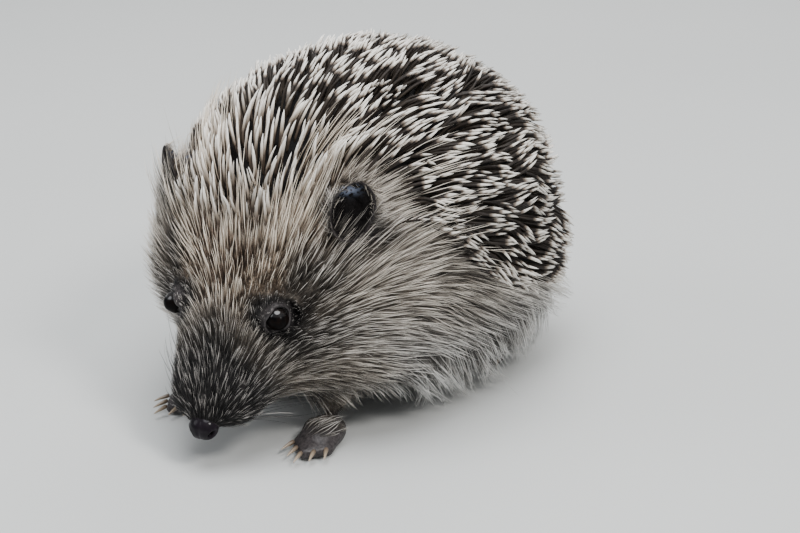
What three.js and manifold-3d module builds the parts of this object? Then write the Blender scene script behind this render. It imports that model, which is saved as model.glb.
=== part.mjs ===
// A young European hedgehog, life size, standing with its head lowered to sniff at the ground.
// Units are millimetres and +Z is up. The animal faces -Y, so its left side is towards +X.
// Every solid reaches to the tips of the spines or fur that cover that part of the animal.
import * as THREE from "three";
import { mergeVertices } from "three/addons/utils/BufferGeometryUtils.js";
import Module from "manifold-3d";

const wasm = await Module();
wasm.setup();

// Driving dimensions.
const backHeight = 102.5; // top of the spines above the ground
const trunkWidth = 102; // across the spines of both flanks
const trunkHalfLength = 59;
const bellyHeight = 9; // lowest belly fur above the ground
const skirtHeight = 6; // lowest fur of the flanks above the ground
const headPitch = 48; // degrees that the nose points below the horizon
const headTurn = 13; // degrees that the head is turned to the animal's left
const headLength = 71.5; // from the line between the ears to the tip of the nose
const eyeForward = 35.6;
const eyeSpread = 15.4; // from the head's mid plane to the centre of an eye
const eyeUp = -3.4;
const eyeRadius = 3.2;
const partGap = 0.3; // clear space between neighbouring parts
const weldDistance = 0.01;
const largeBox = 400;

// The head's own frame has its origin between the ears. Its axes are forward, left and up.
const headOrigin = new THREE.Vector3(-2, -44, 70);
const headForward = new THREE.Vector3(0, -1, 0)
  .applyAxisAngle(new THREE.Vector3(1, 0, 0), THREE.MathUtils.degToRad(headPitch))
  .applyAxisAngle(new THREE.Vector3(0, 0, 1), THREE.MathUtils.degToRad(headTurn));
const headLeft = new THREE.Vector3().crossVectors(new THREE.Vector3(0, 0, 1), headForward).normalize();
const headUp = new THREE.Vector3().crossVectors(headForward, headLeft);
const headFrame = new THREE.Matrix4()
  .makeBasis(headForward, headLeft, headUp)
  .setPosition(headOrigin);
const toHead = headFrame.clone().invert();

// A point given as forward, left and up in the head's frame, in the animal's frame.
function onHead(forward, left, up) {
  return new THREE.Vector3(forward, left, up).applyMatrix4(headFrame);
}

// The body is a blend of egg-shaped lumps, each with a centre and three half sizes.
const trunkLumps = [
  { at: [0, 2, backHeight - 47], half: [trunkWidth / 2, trunkHalfLength, 47] }, // barrel
  { at: [0, 33, 46], half: [43, 33, 40] }, // rump
  { at: [0, -25, 53.5], half: [40, 34, 39.5] }, // shoulders
  { at: [0, 4, bellyHeight + 15], half: [38, 54, 15] }, // belly
  { at: [33, 8, skirtHeight + 22], half: [15.5, 53, 22] }, // fur skirt of the left flank
  { at: [-33, 8, skirtHeight + 22], half: [15.5, 53, 22] }, // fur skirt of the right flank
  { at: [0, -38, bellyHeight + 17], half: [30, 18, 17] }, // chest
  { at: [0, -32, 46], half: [46, 22, 24] }, // ruff behind the cheeks
];
const headLumps = [
  { at: [4, 0, -7], half: [30, 27, 20] }, // crown
  { at: [25, 0, -7], half: [23, 17.5, 15] }, // brow
  { at: [45, 0, -12], half: [20, 17, 9] }, // bridge of the snout
  { at: [59, 0, -13.5], half: [10.5, 12.5, 7.5] }, // tip of the snout
  { at: [12, 16, -16], half: [25, 18, 17] }, // left cheek
  { at: [12, -18.5, -16], half: [25, 18.5, 17] }, // right cheek, fuller as the head turns from it
  { at: [42, 0, -21], half: [19, 14, 7.5] }, // lower jaw
];
const trunkBlend = 14;
const headBlend = 7;
const neckBlend = 12;

// Approximate distance from a point to an egg-shaped lump, below zero inside it.
function lumpDistance([x, y, z], { at, half }) {
  const offset = [x - at[0], y - at[1], z - at[2]];
  const scaled = Math.hypot(...offset.map((d, i) => d / half[i]));
  const slope = Math.hypot(...offset.map((d, i) => d / half[i] ** 2));
  return slope > 0 ? (scaled * (scaled - 1)) / slope : -Math.min(...half);
}

// The smaller of two distances, with the crease between them filled to the given width.
function softMin(a, b, width) {
  const overlap = Math.max(width - Math.abs(a - b), 0) / width;
  return Math.min(a, b) - (overlap * overlap * width) / 4;
}

function blendLumps(point, lumps, width) {
  return lumps.map((lump) => lumpDistance(point, lump)).reduce((a, b) => softMin(a, b, width));
}

// Distance from a point to the coat's outer surface, below zero inside the animal.
function coatDistance(point) {
  const local = point.clone().applyMatrix4(toHead);
  const head = blendLumps(local.toArray(), headLumps, headBlend);
  const trunk = blendLumps(point.toArray(), trunkLumps, trunkBlend);
  return softMin(head, trunk, neckBlend);
}

// The way that the coat faces near a point.
function coatFacing(point) {
  const slope = [0, 1, 2].map((axis) => {
    const ahead = point.clone().setComponent(axis, point.getComponent(axis) + 1);
    return coatDistance(ahead) - coatDistance(point);
  });
  return new THREE.Vector3(...slope).normalize();
}

// How far along a ray from inside the animal the coat's surface lies.
function reachAlong(origin, direction, margin) {
  const step = 2;
  const halvings = 14;
  const distanceAt = (r) => coatDistance(origin.clone().addScaledVector(direction, r)) - margin;
  let inside = 0;
  while (distanceAt(inside + step) < 0) inside += step;
  let outside = inside + step;
  for (let i = 0; i < halvings; i++) {
    const middle = (inside + outside) / 2;
    if (distanceAt(middle) < 0) inside = middle;
    else outside = middle;
  }
  return inside;
}

// The middle of each row of the body's net, and the way that the row faces. Behind the throat the rows
// stand upright. Ahead of it they fan out about a point under the throat until they face along the snout.
const rearCentre = new THREE.Vector3(0, 30, 50);
const fanPoint = new THREE.Vector3(1.2, -58, 0);
const fanStart = 0.56; // share of the middle rows that stand upright
const fanHeights = [43, 22]; // from the fan point to the middle of its first and last rows

function bodyRow(along) {
  const spread = Math.max(along - fanStart, 0) / (1 - fanStart);
  const forward = new THREE.Vector3(0, -1, 0)
    .applyAxisAngle(new THREE.Vector3(1, 0, 0), THREE.MathUtils.degToRad(headPitch * spread))
    .applyAxisAngle(new THREE.Vector3(0, 0, 1), THREE.MathUtils.degToRad(headTurn * spread));
  const left = new THREE.Vector3().crossVectors(new THREE.Vector3(0, 0, 1), forward).normalize();
  const up = new THREE.Vector3().crossVectors(forward, left);
  const height = THREE.MathUtils.lerp(...fanHeights, spread);
  const centre = fanPoint.clone().addScaledVector(up, height);
  if (spread === 0) centre.lerpVectors(rearCentre, centre, along / fanStart);
  return { centre, forward, left, up };
}

// Lays the net of a sphere over the coat: its rows fan out at both ends of the body, and stand on the
// body's own rows between them. A margin above zero makes the shape larger by that much.
function wrapBody({ sides, rearRows, middleRows, noseRows, margin = 0 }) {
  const rows = rearRows + middleRows + noseRows;
  const net = new THREE.SphereGeometry(1, sides, rows);
  const { position, uv } = net.attributes;
  for (let i = 0; i < position.count; i++) {
    const row = Math.round((1 - uv.getY(i)) * rows);
    const around = Math.round(uv.getX(i) * sides) * ((2 * Math.PI) / sides);
    const along = THREE.MathUtils.clamp((row - rearRows) / middleRows, 0, 1);
    const { centre, forward, left, up } = bodyRow(along);
    let lean = 0; // 0 is within the row, -90 degrees straight back, 90 degrees straight ahead
    if (row < rearRows) lean = (row / rearRows - 1) * (Math.PI / 2);
    if (row > rearRows + middleRows) lean = ((row - rearRows - middleRows) / noseRows) * (Math.PI / 2);
    const spread = Math.cos(lean);
    const direction = new THREE.Vector3()
      .addScaledVector(left, -Math.cos(around) * spread)
      .addScaledVector(up, Math.sin(around) * spread)
      .addScaledVector(forward, Math.sin(lean))
      .normalize();
    const point = centre.addScaledVector(direction, reachAlong(centre, direction, margin));
    position.setXYZ(i, point.x, point.y, point.z);
  }
  return net;
}

// A closed geometry as a solid for joining and cutting, moved by a matrix if one is given.
function solidOf(geometry, matrix = new THREE.Matrix4()) {
  const bare = new THREE.BufferGeometry();
  bare.setAttribute("position", geometry.getAttribute("position").clone());
  if (geometry.index) bare.setIndex(geometry.index.clone());
  bare.applyMatrix4(matrix);
  const merged = mergeVertices(bare, 1e-4);
  const vertProperties = new Float32Array(merged.attributes.position.array);
  return new wasm.Manifold(
    new wasm.Mesh({ numProp: 3, vertProperties, triVerts: new Uint32Array(merged.index.array) }),
  );
}

// The largest body of a solid, as a three.js geometry. Corners that nearly touch are welded.
function geometryOf(solid) {
  const [largest] = solid.decompose().sort((a, b) => b.volume() - a.volume());
  const { vertProperties, triVerts } = largest.getMesh();
  const loose = new THREE.BufferGeometry();
  loose.setAttribute("position", new THREE.BufferAttribute(new Float32Array(vertProperties), 3));
  loose.setIndex(new THREE.BufferAttribute(new Uint32Array(triVerts), 1));
  const geometry = mergeVertices(loose, weldDistance);
  const corners = Array.from(geometry.index.array);
  const faces = corners.filter((_, i) => {
    const [a, b, c] = corners.slice(i - (i % 3), i - (i % 3) + 3);
    return a !== b && b !== c && c !== a;
  });
  geometry.setIndex(faces);
  geometry.computeVertexNormals();
  return geometry;
}

// A large block that fills the side of a plane that its normal points away from.
function behindPlane(point, normal) {
  const turn = new THREE.Quaternion().setFromUnitVectors(new THREE.Vector3(0, 0, 1), normal);
  const centre = point.clone().addScaledVector(normal, -largeBox / 2);
  const place = new THREE.Matrix4().compose(centre, turn, new THREE.Vector3(1, 1, 1));
  return solidOf(new THREE.BoxGeometry(largeBox, largeBox, largeBox), place);
}

// A plane that parts the body, given by a point on it and the way that it faces.
function planeAt(point, normal) {
  return { point: new THREE.Vector3(...point), normal: new THREE.Vector3(...normal).normalize() };
}

// What lies behind a plane moved along its normal by half the gap, forwards or backwards.
function halfBehind({ point, normal }, direction) {
  return behindPlane(point.clone().addScaledVector(normal, (direction * partGap) / 2), normal);
}

const coats = {
  back: new THREE.MeshStandardMaterial({ color: 0x8a7f70, roughness: 0.75, metalness: 0 }),
  face: new THREE.MeshStandardMaterial({ color: 0x6e5f50, roughness: 0.85, metalness: 0 }),
  belly: new THREE.MeshStandardMaterial({ color: 0xa39a90, roughness: 0.9, metalness: 0 }),
  skin: new THREE.MeshStandardMaterial({ color: 0x3a312d, roughness: 0.7, metalness: 0 }),
  nose: new THREE.MeshStandardMaterial({ color: 0x17131a, roughness: 0.25, metalness: 0 }),
  eye: new THREE.MeshStandardMaterial({ color: 0x060608, roughness: 0.05, metalness: 0 }),
  claw: new THREE.MeshStandardMaterial({ color: 0x8c7763, roughness: 0.45, metalness: 0 }),
};

const hedgehog = new THREE.Group();

function addPart(name, geometry, material) {
  const mesh = new THREE.Mesh(geometry, material);
  mesh.name = name;
  hedgehog.add(mesh);
}

// An egg shape with three half sizes, placed by a matrix.
function egg(half, matrix, sides = 12, rows = 8) {
  const size = new THREE.Matrix4().makeScale(...half);
  return solidOf(new THREE.SphereGeometry(1, sides, rows), matrix.clone().multiply(size));
}

// A round limb from one point to another that swells evenly between two radii.
function limb(from, to, fromRadius, toRadius, sides = 10, rows = 6) {
  const axis = to.clone().sub(from);
  const net = new THREE.SphereGeometry(1, sides, rows);
  const { position } = net.attributes;
  for (let i = 0; i < position.count; i++) {
    const y = position.getY(i);
    const share = (y + 1) / 2;
    const stretch = THREE.MathUtils.lerp(fromRadius, toRadius, share) * Math.hypot(1, y); // blunt ends
    position.setXYZ(i, position.getX(i) * stretch, share * axis.length(), position.getZ(i) * stretch);
  }
  const turn = new THREE.Quaternion().setFromUnitVectors(new THREE.Vector3(0, 1, 0), axis.normalize());
  return solidOf(net, new THREE.Matrix4().compose(from, turn, new THREE.Vector3(1, 1, 1)));
}

// Feet stand on the ground with flat soles. Each has five toes, and a claw on each toe.
const ground = behindPlane(new THREE.Vector3(0, 0, 0), new THREE.Vector3(0, 0, 1));
const feet = {
  front: {
    hip: [18, -32, 26],
    ankle: [21, -44, 2.5],
    hipRadius: 8.5,
    ankleRadius: 5,
    palm: { half: [6.2, 8, 4.2], at: [22.5, -48, 3.4] },
    toeLength: 7.5,
    clawLength: 5.5,
    splay: 10,
    toes: [-38, -18, 0, 18, 38],
  },
  hind: {
    hip: [24, 32, 28],
    ankle: [26, 42, 2.5],
    hipRadius: 12,
    ankleRadius: 6,
    palm: { half: [6, 14, 4.2], at: [26.5, 34, 3.4] },
    toeLength: 7,
    clawLength: 4.5,
    splay: 14,
    toes: [-34, -16, 0, 16, 34],
  },
};
const sides = [["left", 1], ["right", -1]];
const toeRadius = 2.3;
const toeHeight = 1.95; // of a toe's middle line above the ground
const toeSpread = 5.2; // sideways reach of the toes' roots
const toeTurn = 0.55; // share of its own angle by which a toe is turned out
const toeShortening = 0.22; // share of its length that the outermost toe lacks
const toeSetback = 3; // of the outermost toe's root
const clawRadius = 0.95;
const clawDrop = 1.3;
const clawLift = 1; // of a claw's root above the middle line of its toe

// Mirrors a point of the left side to the right side when side is -1.
function onSide(side, x, y, z) {
  return new THREE.Vector3(side * x, y, z);
}

// A leg from its hip or shoulder inside the trunk to its ankle, larger all over by the margin.
function legShape(plan, side, margin) {
  const hip = onSide(side, ...plan.hip);
  const ankle = onSide(side, ...plan.ankle);
  const axis = ankle.clone().sub(hip).normalize();
  hip.addScaledVector(axis, -margin);
  ankle.addScaledVector(axis, margin);
  return limb(hip, ankle, plan.hipRadius + margin, plan.ankleRadius + margin);
}

// The whole trunk and head as one solid, and a slightly larger one that keeps other parts clear of it.
const bodyNet = { sides: 30, rearRows: 7, middleRows: 27, noseRows: 4 };
const body = solidOf(wrapBody(bodyNet));
const lowered = solidOf(wrapBody(bodyNet), new THREE.Matrix4().makeTranslation(0, 0, -partGap));
const clearance = solidOf(wrapBody({ ...bodyNet, margin: partGap })).add(lowered).add(body);

// The planes that part the body, from the rear to the front. Each is named for what lies ahead of it.
// The neck and the head lie above the throat plane, and the chest lies below it.
const headwards = [0, -1, 0];
const behindEars = [0, -1, -0.19];
const partings = [
  { name: "rump", material: coats.back },
  { name: "trunk", material: coats.back, cut: planeAt([0, 34, 50], headwards) },
  { name: "shoulders", material: coats.back, cut: planeAt([0, -2, 50], headwards) },
  { name: "neck", material: coats.back, cut: planeAt([0, -24, 50], headwards), aboveThroat: true },
  { name: "head", material: coats.face, cut: planeAt([0, -39, 60], behindEars), aboveThroat: true },
];
const chestCut = partings[3].cut;
const throatCut = { point: onHead(0, 0, -32), normal: headUp };

// The snout and the lower jaw are what lies in two blocks of the head's frame. The mouth is between them.
const snoutBlock = { from: [44, -24, -16.9], to: [90, 24, 20] };
const jawBlock = { from: [42, -16, -33], to: [90, 16, -17.2] };

// A block of the head's frame as a solid, larger on every side by the margin.
function blockOnHead({ from, to }, margin = 0) {
  const size = to.map((end, i) => end - from[i] + 2 * margin);
  const centre = to.map((end, i) => (end + from[i]) / 2);
  const place = headFrame.clone().multiply(new THREE.Matrix4().makeTranslation(...centre));
  return solidOf(new THREE.BoxGeometry(...size), place);
}

// Eyes sit in sockets that leave the gap round each eyeball and open into a shallow dip in the fur.
const eyeDip = { half: [5.2, 5.2, 3.2], rise: 3.6 };
const eyeCentres = sides.map(([, side]) => onHead(eyeForward, side * eyeSpread, eyeUp));
const sockets = eyeCentres.map((centre) => {
  const facing = coatFacing(centre);
  const turn = new THREE.Quaternion().setFromUnitVectors(new THREE.Vector3(0, 0, 1), facing);
  const dipPlace = new THREE.Matrix4()
    .makeRotationFromQuaternion(turn)
    .setPosition(centre.clone().addScaledVector(facing, eyeDip.rise));
  const ball = egg(new Array(3).fill(eyeRadius + partGap), new THREE.Matrix4().setPosition(centre));
  return ball.add(egg(eyeDip.half, dipPlace));
});

// Each ear is a round cupped flap that stands in a pocket of the coat.
const earSize = { width: 16, height: 17, thickness: 1.6, cup: 5 };
const earSink = 1.4; // from the surface of the coat down to the middle of a flap
const earPlaces = sides.map(([, side]) => {
  const root = onHead(-5, side * 20, -5);
  const facing = new THREE.Vector3(0.5, side * 0.7, 0.5).transformDirection(headFrame);
  const tall = new THREE.Vector3(-0.62, side * 0.3, 0.72).transformDirection(headFrame);
  const wide = new THREE.Vector3().crossVectors(tall, facing).normalize();
  const upright = new THREE.Vector3().crossVectors(facing, wide);
  const centre = root.clone().addScaledVector(facing, reachAlong(root, facing, -earSink));
  return new THREE.Matrix4().makeBasis(wide, upright, facing).setPosition(centre);
});
const earPockets = earPlaces.map((place) => {
  const half = [earSize.width / 2 + partGap, earSize.height / 2 + partGap, earSize.cup + earSize.thickness];
  return egg(half, place.clone().multiply(new THREE.Matrix4().makeTranslation(0, 0, earSize.cup)), 14, 8);
});

// The nose pad caps the snout with two rounded halves and a nostril on each side.
const padHalf = [3.8, 3.5, 3.9];
const nostrilHalf = [1.9, 0.9, 1.1];
const noseSeat = headLength - 6.5; // how far forward the pad meets the snout

function onNose(half, forward, left, up, sideCount, rowCount) {
  const offset = new THREE.Matrix4().makeTranslation(forward, left, up);
  const centre = headFrame.clone().setPosition(onHead(headLength - 4, 0, -11));
  return egg(half, centre.multiply(offset), sideCount, rowCount);
}

const [leftPad, rightPad] = sides.map(([, side]) => onNose(padHalf, 0.2, side * 1.3, 0, 10, 6));
const nostrils = sides.map(([, side]) => onNose(nostrilHalf, 2.7, side * 2.9, -0.4, 6, 5));
const padSolid = leftPad.add(rightPad).subtract(behindPlane(onHead(noseSeat, 0, 0), headForward));

const legPlans = Object.values(feet);
const legSockets = sides.flatMap(([, side]) => legPlans.map((plan) => legShape(plan, side, partGap)));
const furred = [...sockets, ...earPockets, ...legSockets].reduce((solid, hole) => solid.subtract(hole), body);
const snoutEnd = behindPlane(onHead(noseSeat - partGap, 0, 0), headForward);
const muzzle = furred.intersect(snoutEnd);
const snout = muzzle.intersect(blockOnHead(snoutBlock));
const jaw = muzzle.intersect(blockOnHead(jawBlock));
const trimmed = muzzle.subtract(blockOnHead(snoutBlock, partGap)).subtract(blockOnHead(jawBlock, partGap));

partings.forEach(({ name, material, cut, aboveThroat }, i) => {
  let part = aboveThroat ? trimmed.subtract(halfBehind(throatCut, 1)) : trimmed;
  if (cut) part = part.subtract(halfBehind(cut, 1));
  const next = partings[i + 1];
  if (next) part = part.intersect(halfBehind(next.cut, -1));
  addPart(name, geometryOf(part), material);
});
const chest = trimmed.intersect(halfBehind(throatCut, -1)).subtract(halfBehind(chestCut, 1));
addPart("chest", geometryOf(chest), coats.belly);
addPart("snout", geometryOf(snout), coats.face);
addPart("lower_jaw", geometryOf(jaw), coats.face);
const pad = nostrils.reduce((solid, nostril) => solid.subtract(nostril), padSolid);
addPart("nose", geometryOf(pad), coats.nose);

// A round ear flap, hollow towards its own +Z.
function earFlap({ width, height, thickness, cup }) {
  const net = new THREE.SphereGeometry(1, 14, 8);
  net.rotateX(Math.PI / 2);
  const { position } = net.attributes;
  for (let i = 0; i < position.count; i++) {
    const [x, y, z] = [position.getX(i), position.getY(i), position.getZ(i)];
    const rim = x * x + y * y;
    position.setXYZ(i, (x * width) / 2, (y * height) / 2, (z * thickness) / 2 + rim * cup);
  }
  return net;
}

sides.forEach(([sideName], i) => {
  const eyeBall = new THREE.SphereGeometry(eyeRadius, 12, 8).translate(...eyeCentres[i].toArray());
  addPart(`eye_${sideName}`, eyeBall, coats.eye);
  addPart(`ear_${sideName}`, geometryOf(solidOf(earFlap(earSize), earPlaces[i])), coats.skin);
});

// A claw along its own +Y that thins to a point and droops towards -Z.
function clawShape(length) {
  const cone = new THREE.ConeGeometry(clawRadius, length, 5, 2);
  const { position } = cone.attributes;
  for (let i = 0; i < position.count; i++) {
    const share = position.getY(i) / length + 0.5;
    position.setZ(i, position.getZ(i) - clawDrop * share * share);
  }
  return cone.translate(0, length / 2, 0);
}

// The palm, the toes and the claws of one foot, each as a solid. The outer toes are shorter, and start
// further back.
function footShapes({ palm, toes, toeLength, clawLength, splay }, side) {
  const [x, y, z] = palm.at;
  const heading = Math.PI + side * THREE.MathUtils.degToRad(splay);
  const place = new THREE.Matrix4().makeRotationZ(heading).setPosition(side * x, y, z);
  let foot = egg(palm.half, place, 10, 6);
  const claws = toes.map((degrees, i) => {
    const outer = Math.abs(i - 2) / 2;
    const length = toeLength * (1 - toeShortening * outer);
    const angle = THREE.MathUtils.degToRad(degrees);
    const rootY = palm.half[1] * 0.78 - outer * toeSetback;
    const toe = place
      .clone()
      .multiply(new THREE.Matrix4().makeTranslation(-Math.sin(angle) * toeSpread, rootY, toeHeight - z))
      .multiply(new THREE.Matrix4().makeRotationZ(angle * toeTurn));
    const middle = new THREE.Matrix4().makeTranslation(0, length * 0.35, 0);
    foot = foot.add(egg([toeRadius, length * 0.62, toeRadius], toe.clone().multiply(middle), 6, 4));
    const tip = new THREE.Matrix4().makeTranslation(0, length * 0.97 + partGap, clawLift);
    return solidOf(clawShape(clawLength), toe.multiply(tip));
  });
  const grownPalm = egg(palm.half.map((h) => h + partGap), place, 10, 6);
  return { foot, claws, grownPalm };
}

for (const [sideName, side] of sides) {
  for (const [end, plan] of Object.entries(feet)) {
    const { foot, claws, grownPalm } = footShapes(plan, side);
    const leg = legShape(plan, side, 0).subtract(grownPalm).subtract(foot).subtract(ground);
    const sole = foot.subtract(ground).subtract(clearance);
    addPart(`${end}_leg_${sideName}`, geometryOf(leg), coats.belly);
    addPart(`${end}_foot_${sideName}`, geometryOf(sole), coats.skin);
    claws.forEach((claw, i) => {
      addPart(`${end}_claw_${sideName}_${i + 1}`, geometryOf(claw.subtract(foot)), coats.claw);
    });
  }
}

// A short tail below the rump.
const tailPlan = { from: [0, 56, 20], to: [0, 70, 13], fromRadius: 5, toRadius: 2.2 };
const tail = limb(
  new THREE.Vector3(...tailPlan.from),
  new THREE.Vector3(...tailPlan.to),
  tailPlan.fromRadius,
  tailPlan.toRadius,
);
addPart("tail", geometryOf(tail.subtract(clearance)), coats.belly);

// The origin is under the middle of the whole animal, on the ground.
const extent = new THREE.Box3().setFromObject(hedgehog);
const middle = extent.getCenter(new THREE.Vector3());
hedgehog.position.set(-middle.x, -middle.y, -extent.min.z);

export default hedgehog;
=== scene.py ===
import math

import bmesh
import bpy
import numpy as np
from mathutils import Matrix, Vector
from mathutils.bvhtree import BVHTree
from mathutils.kdtree import KDTree


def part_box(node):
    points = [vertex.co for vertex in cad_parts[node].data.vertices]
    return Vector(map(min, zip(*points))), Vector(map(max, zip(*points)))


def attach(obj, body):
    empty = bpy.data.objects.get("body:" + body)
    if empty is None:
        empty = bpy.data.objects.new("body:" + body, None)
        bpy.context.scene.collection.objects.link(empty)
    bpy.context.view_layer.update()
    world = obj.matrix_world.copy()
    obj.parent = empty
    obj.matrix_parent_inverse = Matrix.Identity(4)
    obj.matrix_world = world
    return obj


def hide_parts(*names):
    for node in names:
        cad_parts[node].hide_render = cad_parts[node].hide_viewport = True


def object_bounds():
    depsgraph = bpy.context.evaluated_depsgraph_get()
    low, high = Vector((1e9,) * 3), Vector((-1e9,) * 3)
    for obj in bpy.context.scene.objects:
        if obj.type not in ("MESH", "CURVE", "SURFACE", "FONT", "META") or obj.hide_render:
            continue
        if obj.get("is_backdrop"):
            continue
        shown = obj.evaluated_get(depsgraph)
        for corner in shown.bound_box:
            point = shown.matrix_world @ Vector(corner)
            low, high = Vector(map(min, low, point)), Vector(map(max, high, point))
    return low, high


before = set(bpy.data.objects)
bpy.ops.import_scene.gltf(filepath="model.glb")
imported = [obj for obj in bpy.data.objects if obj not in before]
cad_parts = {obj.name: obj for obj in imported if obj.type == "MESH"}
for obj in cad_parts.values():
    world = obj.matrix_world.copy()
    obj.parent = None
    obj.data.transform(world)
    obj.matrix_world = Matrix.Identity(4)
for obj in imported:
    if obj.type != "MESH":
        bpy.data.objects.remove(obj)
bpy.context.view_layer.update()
bpy.ops.object.select_all(action="DESELECT")

mm = 0.001
sides = {"left": 1, "right": -1}
random = np.random.default_rng(11)


# Small helpers. Points are arrays in millimetres, in the same frame as the solids.

def unit(vectors):
    return vectors / np.maximum(np.linalg.norm(vectors, axis=-1, keepdims=True), 1e-9)


def ramp(values, low, high):
    # rises smoothly from 0 at low to 1 at high
    share = np.clip((values - low) / (high - low), 0, 1)
    return share * share * (3 - 2 * share)


def dot(a, b):
    return np.sum(a * b, axis=-1)


def distanceFrom(points, centre):
    return np.linalg.norm(points - centre, axis=1)


def readPoints(piece, kind="co"):
    values = np.empty(len(piece.data.vertices) * 3, np.float32)
    piece.data.vertices.foreach_get(kind, values)
    values = values.reshape(-1, 3).astype(float)
    return values / mm if kind == "co" else values


def writePoints(piece, points):
    piece.data.vertices.foreach_set("co", (points * mm).astype(np.float32).ravel())
    piece.data.update()


def writeValues(mesh, values):
    # numbers at the vertices, for the materials to read
    for key, value in values.items():
        attribute = mesh.attributes.new(key, "FLOAT", "POINT")
        attribute.data.foreach_set("value", value.astype(np.float32))


def readEdges(piece):
    edges = np.empty(len(piece.data.edges) * 2, np.int32)
    piece.data.edges.foreach_get("vertices", edges)
    return edges.reshape(-1, 2)


def averageOver(edges, values, rounds, strength=1.0):
    # each vertex's value moves towards the mean of its neighbours
    count = np.bincount(edges.ravel(), minlength=len(values)).astype(float)
    for _ in range(rounds):
        total = np.empty_like(values)
        for axis in range(values.shape[1]):
            column = values[:, axis]
            total[:, axis] = np.bincount(edges[:, 0], column[edges[:, 1]], len(values))
            total[:, axis] += np.bincount(edges[:, 1], column[edges[:, 0]], len(values))
        values = values + strength * (total / np.maximum(count, 1)[:, None] - values)
    return values


def selectOnly(*pieces):
    bpy.ops.object.select_all(action="DESELECT")
    for piece in pieces:
        piece.select_set(True)
    bpy.context.view_layer.objects.active = pieces[0]


def addObject(name, data):
    added = bpy.data.objects.new(name, data)
    bpy.context.scene.collection.objects.link(added)
    return added


def mergedCopy(nodeName):
    # the solid's own triangles, joined where their corners meet
    piece = addObject(nodeName + "Copy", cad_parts[nodeName].data.copy())
    mesh = bmesh.new()
    mesh.from_mesh(piece.data)
    bmesh.ops.remove_doubles(mesh, verts=mesh.verts, dist=1e-5)
    mesh.to_mesh(piece.data)
    mesh.free()
    piece.data.materials.clear()
    return piece


def joinAll(pieces, name):
    selectOnly(*pieces)
    bpy.ops.object.join()
    joined = bpy.context.view_layer.objects.active
    joined.name = name
    joined.data.name = name
    return joined


def applyModifier(piece, kind, **settings):
    selectOnly(piece)
    modifier = piece.modifiers.new(kind.lower(), kind)
    for key, value in settings.items():
        setattr(modifier, key, value)
    bpy.ops.object.modifier_apply(modifier=modifier.name)


def remesh(piece, size):
    applyModifier(piece, "REMESH", mode="VOXEL", voxel_size=size * mm)


def soften(piece, rounds, strength):
    writePoints(piece, averageOver(readEdges(piece), readPoints(piece), rounds, strength))


def inFixedOrder(mesh):
    # a sphere's points come in another order from run to run, and the hair on it would follow that
    points = np.empty(len(mesh.vertices) * 3, np.float32)
    mesh.vertices.foreach_get("co", points)
    points = points.reshape(-1, 3).astype(float)
    order = np.lexsort(np.round(points, 4).T)
    rank = np.argsort(order)
    faces = []
    for polygon in mesh.polygons:
        corners = [int(rank[i]) for i in polygon.vertices]
        first = corners.index(min(corners))
        faces.append(corners[first:] + corners[:first])
    ordered = bpy.data.meshes.new(mesh.name)
    ordered.from_pydata((np.round(points[order], 6) + 0.0).tolist(), [], sorted(faces))
    return ordered


def addEgg(half, matrix, segments=24, rings=14):
    # a ball with three half sizes, set in place by a matrix whose units are millimetres
    bpy.ops.object.select_all(action="DESELECT")
    bpy.ops.mesh.primitive_uv_sphere_add(segments=segments, ring_count=rings, radius=1)
    egg = bpy.context.view_layer.objects.active
    egg.data = inFixedOrder(egg.data)
    size = Matrix.Diagonal((*half, 1))
    egg.data.transform(Matrix.Scale(mm, 4) @ matrix @ size)
    return egg


def settle(piece, material, nodes=()):
    # gives a finished piece its material and hands it over to the frame
    piece.data.materials.append(material)
    piece.data.shade_smooth()
    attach(piece, "root")
    if nodes:
        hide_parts(*nodes)


# The head has its own directions: forward along the muzzle, left, and up out of the forehead.
headPose = {"origin": (-2, -36.935, 70), "pitch": 48, "turn": 13}
headOrigin = np.array(headPose["origin"], float)
pitch, turn = math.radians(headPose["pitch"]), math.radians(headPose["turn"])
headForward = np.array([
    math.sin(turn) * math.cos(pitch), -math.cos(turn) * math.cos(pitch), -math.sin(pitch)])
headLeft = np.array([math.cos(turn), math.sin(turn), 0.0])
headUp = np.cross(headForward, headLeft)
headAxes = np.stack([headForward, headLeft, headUp])


def onHead(forward, left, up):
    return headOrigin + np.array([forward, left, up], float) @ headAxes


def toHead(points):
    return (points - headOrigin) @ headAxes.T


def headWay(way, side):
    # a direction that is given for the left side as forward, left and up of the head
    return unit(np.array(way) * (1, side, 1) @ headAxes)


def turnedMatrix(place, axes=headAxes):
    matrix = Matrix([[*row] for row in axes]).transposed().to_4x4()
    matrix.translation = Vector(place)
    return matrix


# The middles of the eyes and ears, as the solids have them.
eyeRadius = 3.2
eyeCentres, earPlaces = {}, {}
for sideName, side in sides.items():
    low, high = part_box("eye_" + sideName)
    eyeCentres[sideName] = np.array((low + high) / 2) / mm
    earPoints = readPoints(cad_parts["ear_" + sideName])
    facing, tall = headWay((0.5, 0.7, 0.5), side), headWay((-0.62, 0.3, 0.72), side)
    wide = unit(np.cross(tall, facing))
    upright = np.cross(facing, wide)
    across, along, out = earPoints @ wide, earPoints @ upright, earPoints @ facing
    centre = wide * (across.min() + across.max()) / 2 + upright * (along.min() + along.max()) / 2
    centre = centre + facing * (out.min() + 0.8)
    earPlaces[sideName] = {"centre": centre, "wide": wide, "upright": upright, "facing": facing}
leftEar, rightEar = (earPlaces[name]["centre"] for name in sides)
leftEarForward = toHead(leftEar[None])[0, 0]


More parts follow.
